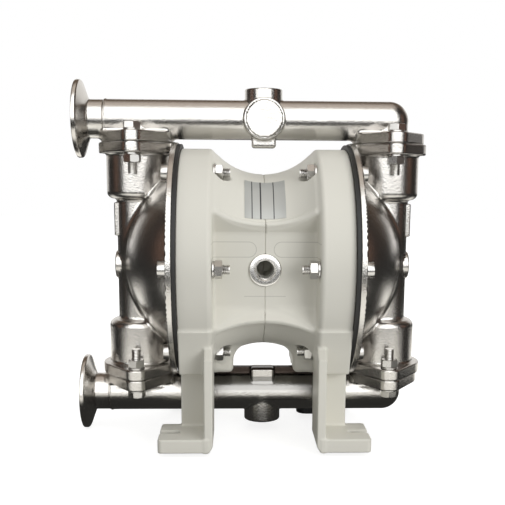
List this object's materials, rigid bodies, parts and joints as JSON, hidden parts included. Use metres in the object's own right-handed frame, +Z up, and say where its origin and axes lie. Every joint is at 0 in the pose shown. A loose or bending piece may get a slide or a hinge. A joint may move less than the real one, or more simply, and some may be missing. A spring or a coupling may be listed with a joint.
{
  "type": "air operated diaphragm pump",
  "caption": "Air operated double diaphragm pump with a moulded two-part housing on feet, stainless liquid chambers and manifolds with clamp ferrules.",
  "frame": {"origin": "on the floor plane, midway between the four feet, below the middle of the shaft", "axes": "+X across the pump along the shaft, towards the closed end of the manifolds; +Z up; the air inlet faces -Y"},
  "size_m": [0.2309, 0.1755, 0.2351],
  "materials": {
    "cream_plastic": "warm off-white moulded plastic, satin",
    "cast_stainless": "cast stainless steel, electropolished over a fine grain",
    "ferrule_steel": "turned stainless steel, satin",
    "screw_steel": "stainless fasteners",
    "seal_rubber": "black rubber",
    "shaft_steel": "ground stainless steel",
    "plate_aluminium": "machined aluminium",
    "valve_aluminium": "cast aluminium, machined faces",
    "bearing_plastic": "dark acetal",
    "ball_rubber": "black rubber ball",
    "seat_steel": "turned stainless steel",
    "silencer_plastic": "black moulded plastic",
    "inlet_metal": "nickel plated brass",
    "label_silver": "silver-grey label film"
  },
  "bodies": {
    "pump_body": {"left_housing": "cream_plastic", "right_housing": "cream_plastic", "left_chamber": "cast_stainless", "right_chamber": "cast_stainless", "top_manifold": "cast_stainless", "bottom_manifold": "cast_stainless", "top_ferrule": "ferrule_steel", "bottom_ferrule": "ferrule_steel", "top_port_seals": "seal_rubber", "bottom_port_seals": "seal_rubber", "shaft_bushings": "bearing_plastic", "shaft_seals": "seal_rubber", "pilot_bushings": "bearing_plastic", "air_valve_body": "valve_aluminium", "air_valve_gasket": "seal_rubber", "air_valve_screws": "screw_steel", "air_inlet_bushing": "inlet_metal", "exhaust_silencer": "silencer_plastic", "rating_plate": "label_silver", "tie_bolts": "screw_steel", "tie_nuts": "screw_steel", "top_flange_bolts": "screw_steel", "top_flange_nuts": "screw_steel", "top_flange_washers": "screw_steel", "bottom_flange_bolts": "screw_steel", "bottom_flange_nuts": "screw_steel", "bottom_flange_washers": "screw_steel", "left_inlet_seat": "seat_steel", "left_outlet_seat": "seat_steel", "left_diaphragm": "seal_rubber", "left_valve_cap": "valve_aluminium", "left_valve_cap_screws": "screw_steel", "left_rim_screws": "screw_steel", "left_rim_nuts": "screw_steel", "left_rim_washers": "screw_steel", "right_inlet_seat": "seat_steel", "right_outlet_seat": "seat_steel", "right_diaphragm": "seal_rubber", "right_valve_cap": "valve_aluminium", "right_valve_cap_screws": "screw_steel", "right_rim_screws": "screw_steel", "right_rim_nuts": "screw_steel", "right_rim_washers": "screw_steel"},
    "shaft": {"main_shaft": "shaft_steel", "left_inner_plate": "plate_aluminium", "right_inner_plate": "plate_aluminium", "left_outer_plate": "plate_aluminium", "right_outer_plate": "plate_aluminium"},
    "pilot": {"pilot_rod": "shaft_steel"},
    "spool": {"air_valve_spool": "shaft_steel"},
    "left_inlet_valve": {"left_inlet_ball": "ball_rubber"},
    "left_outlet_valve": {"left_outlet_ball": "ball_rubber"},
    "right_inlet_valve": {"right_inlet_ball": "ball_rubber"},
    "right_outlet_valve": {"right_outlet_ball": "ball_rubber"}
  },
  "joints": [
    {"name": "shaft_stroke", "type": "slide", "parent": "pump_body", "child": "shaft", "axis": [1, 0, 0], "range_m": [-0.006, 0.006], "deforming": ["left_diaphragm", "right_diaphragm"]},
    {"name": "pilot_slide", "type": "slide", "parent": "pump_body", "child": "pilot", "axis": [1, 0, 0], "range_m": [-0.0024, 0.0024]},
    {"name": "spool_slide", "type": "slide", "parent": "pump_body", "child": "spool", "axis": [1, 0, 0], "range_m": [-0.004, 0.004]},
    {"name": "left_inlet_lift", "type": "slide", "parent": "pump_body", "child": "left_inlet_valve", "axis": [0, 0, 1], "range_m": [0, 0.0055]},
    {"name": "left_outlet_lift", "type": "slide", "parent": "pump_body", "child": "left_outlet_valve", "axis": [0, 0, 1], "range_m": [0, 0.0055]},
    {"name": "right_inlet_lift", "type": "slide", "parent": "pump_body", "child": "right_inlet_valve", "axis": [0, 0, 1], "range_m": [0, 0.0055]},
    {"name": "right_outlet_lift", "type": "slide", "parent": "pump_body", "child": "right_outlet_valve", "axis": [0, 0, 1], "range_m": [0, 0.0055]}
  ],
  "couplings": [
    {"joint": "pilot_slide", "follows": "shaft_stroke", "ratio": 0.4}
  ]
}
